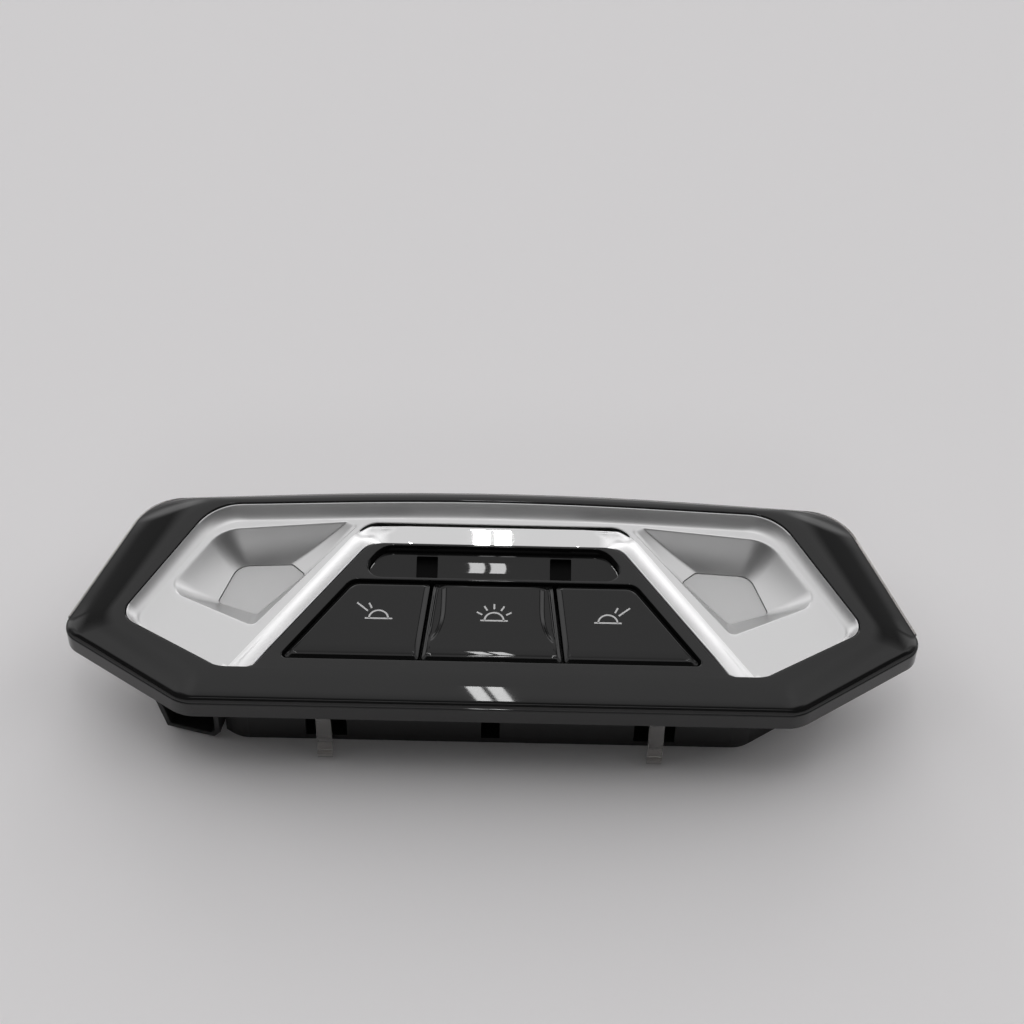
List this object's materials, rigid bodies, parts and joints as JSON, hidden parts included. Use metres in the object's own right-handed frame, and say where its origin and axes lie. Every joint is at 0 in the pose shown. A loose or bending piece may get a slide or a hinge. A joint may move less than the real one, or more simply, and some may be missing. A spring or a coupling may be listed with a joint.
{
  "type": "interior reading light",
  "caption": "Car roof reading light: gloss black bevelled frame, silver bowls with clear lenses, push buttons with lamp icons, light slot, rear tub with cable socket and spring clips.",
  "frame": {"origin": "middle of the lamp's footprint, on the surface that the rear housing lies on", "axes": "X along the lamp's width, Y from its front edge to its back edge, Z out of its lit face"},
  "size_m": [0.205, 0.0644, 0.0311],
  "materials": {
    "black_gloss": "smooth gloss black moulding",
    "button_gloss": "smooth gloss black keys",
    "black_matt": "plain dull black moulding",
    "clear_plastic": "clear, faintly warm plastic",
    "clear_lens": "clear polished plastic",
    "smoked_plastic": "smoked, almost black window",
    "satin_silver": "satin silver coat",
    "bright_silver": "bright satin chrome coat",
    "brass": "plain contact metal",
    "board_green": "green solder mask",
    "lamp_chip": "white chip with a yellow light spot",
    "plunger_white": "plain off-white plastic",
    "steel": "plain spring steel"
  },
  "bodies": {
    "lamp": {"bezel": "black_gloss", "light_guide": "clear_plastic", "reflector": "satin_silver", "arch_trim": "bright_silver", "reading_lens_left": "clear_lens", "reading_lens_right": "clear_lens", "slot_strip": "black_gloss", "ambient_window_left": "smoked_plastic", "ambient_window_right": "smoked_plastic", "button_carrier": "black_matt", "connector_shroud": "black_matt", "connector_pins": "brass", "rear_housing": "black_matt", "circuit_board": "board_green", "switch_left": "black_matt", "switch_center": "black_matt", "switch_right": "black_matt", "reading_led_left": "lamp_chip", "reading_led_right": "lamp_chip", "collimator_left": "clear_lens", "collimator_right": "clear_lens", "icon_leds": "lamp_chip", "ambient_leds": "lamp_chip", "housing_screws": "steel", "spring_clip_left": "steel", "spring_clip_right": "steel"},
    "left_key": {"button_left": "button_gloss", "plunger_left": "plunger_white"},
    "center_key": {"button_center": "button_gloss", "plunger_center": "plunger_white"},
    "right_key": {"button_right": "button_gloss", "plunger_right": "plunger_white"}
  },
  "joints": [
    {"name": "left_key_press", "type": "slide", "parent": "lamp", "child": "left_key", "axis": [0, 0, -1], "range_m": [0, 0.0008], "stiffness_N_per_m": 1500},
    {"name": "center_key_press", "type": "slide", "parent": "lamp", "child": "center_key", "axis": [0, 0, -1], "range_m": [0, 0.0008], "stiffness_N_per_m": 1500},
    {"name": "right_key_press", "type": "slide", "parent": "lamp", "child": "right_key", "axis": [0, 0, -1], "range_m": [0, 0.0008], "stiffness_N_per_m": 1500}
  ]
}
